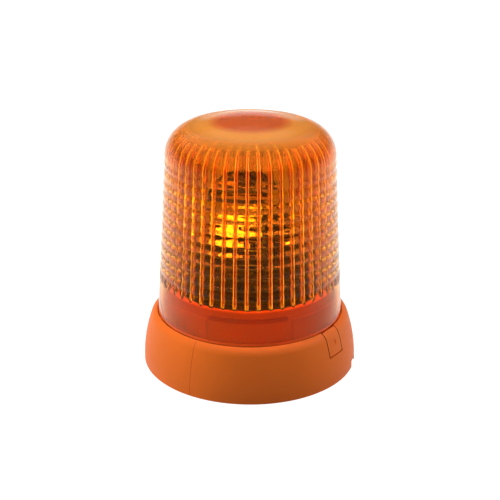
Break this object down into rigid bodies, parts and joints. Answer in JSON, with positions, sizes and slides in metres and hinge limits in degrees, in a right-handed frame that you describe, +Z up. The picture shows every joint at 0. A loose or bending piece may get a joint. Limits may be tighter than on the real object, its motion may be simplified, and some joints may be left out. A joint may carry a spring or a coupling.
{
  "type": "rotating beacon",
  "caption": "Fixed-mount rotating beacon: amber ribbed bayonet lens over a motor-driven reflector, on a round orange base with a rocking lock tab.",
  "frame": {"origin": "centre of the face that the base stands on", "axes": "+Z up along the axis of the lens and the reflector drive; -Y is the side with a bayonet entry gap, the lock tab is 54.3 degrees towards +X"},
  "size_m": [0.1668, 0.1668, 0.1917],
  "materials": {
    "orange_housing": "satin moulded plastic, the housing's orange",
    "amber_lens": "clear amber moulded plastic, polished outside",
    "black_rubber": "matt soft rubber",
    "brass": "turned brass",
    "steel": "zinc-plated steel",
    "motor_steel": "drawn and plated steel can",
    "zinc_plate": "plain die-cast alloy",
    "white_gear": "natural acetal",
    "black_plastic": "matt black moulded plastic",
    "reflector_mirror": "vacuum-metallised bowl",
    "lamp_glass": "clear lamp glass",
    "terminal_white": "natural nylon",
    "choke_grey": "grey ferrite with sleeve"
  },
  "bodies": {
    "base": {"base_housing": "orange_housing", "base_gasket": "black_rubber", "mounting_inserts": "brass", "cable_grommet": "black_rubber", "lock_tab_pin": "steel", "chassis_plate": "zinc_plate", "chassis_dampers": "black_rubber", "chassis_screws": "steel", "motor_can": "motor_steel", "motor_screws": "steel", "idler_pin": "steel", "idler_clip": "steel", "centre_column": "zinc_plate", "column_screws": "steel", "thrust_washer": "brass", "column_circlip": "steel", "drive_cover": "black_plastic", "lamp_socket": "black_plastic", "bulb_base": "brass", "bulb_glass": "lamp_glass", "terminal_block": "terminal_white", "terminal_screws": "steel", "suppression_choke": "choke_grey"},
    "reflector_head": {"ring_gear": "white_gear", "hub_bush": "brass", "turntable": "black_plastic", "balance_weight": "steel", "reflector_bowl": "reflector_mirror", "reflector_bracket": "steel", "reflector_screws": "steel"},
    "idler": {"idler_gear": "white_gear"},
    "motor_rotor": {"motor_shaft": "steel", "motor_pinion": "brass"},
    "seal": {"lens_seal": "black_rubber"},
    "lens": {"lens_dome": "amber_lens"},
    "tab": {"lock_tab": "orange_housing"}
  },
  "joints": [
    {"name": "reflector_spin", "type": "hinge", "parent": "base", "child": "reflector_head", "pos_m": [0, 0, 0.07], "axis": [0, 0, 1], "continuous": true},
    {"name": "idler_spin", "type": "hinge", "parent": "base", "child": "idler", "pos_m": [0, 0.039, 0.06], "axis": [0, 0, 1], "continuous": true},
    {"name": "motor_spin", "type": "hinge", "parent": "base", "child": "motor_rotor", "pos_m": [-0.0239, 0.031, 0.045], "axis": [0, 0, 1], "continuous": true},
    {"name": "lens_turn", "type": "hinge", "parent": "base", "child": "seal", "pos_m": [0, 0, 0.027], "axis": [0, 0, 1], "range_deg": [-20, 0]},
    {"name": "lens_lift", "type": "slide", "parent": "seal", "child": "lens", "axis": [0, 0, 1], "range_m": [0, 0.15]},
    {"name": "lock_tab_press", "type": "hinge", "parent": "base", "child": "tab", "pos_m": [0.0605, -0.04347, 0.0365], "axis": [0.5835, 0.8121, 0], "range_deg": [0, 12]}
  ],
  "couplings": [
    {"joint": "idler_spin", "follows": "reflector_spin", "ratio": -3.3333},
    {"joint": "motor_spin", "follows": "reflector_spin", "ratio": 8.3333}
  ]
}
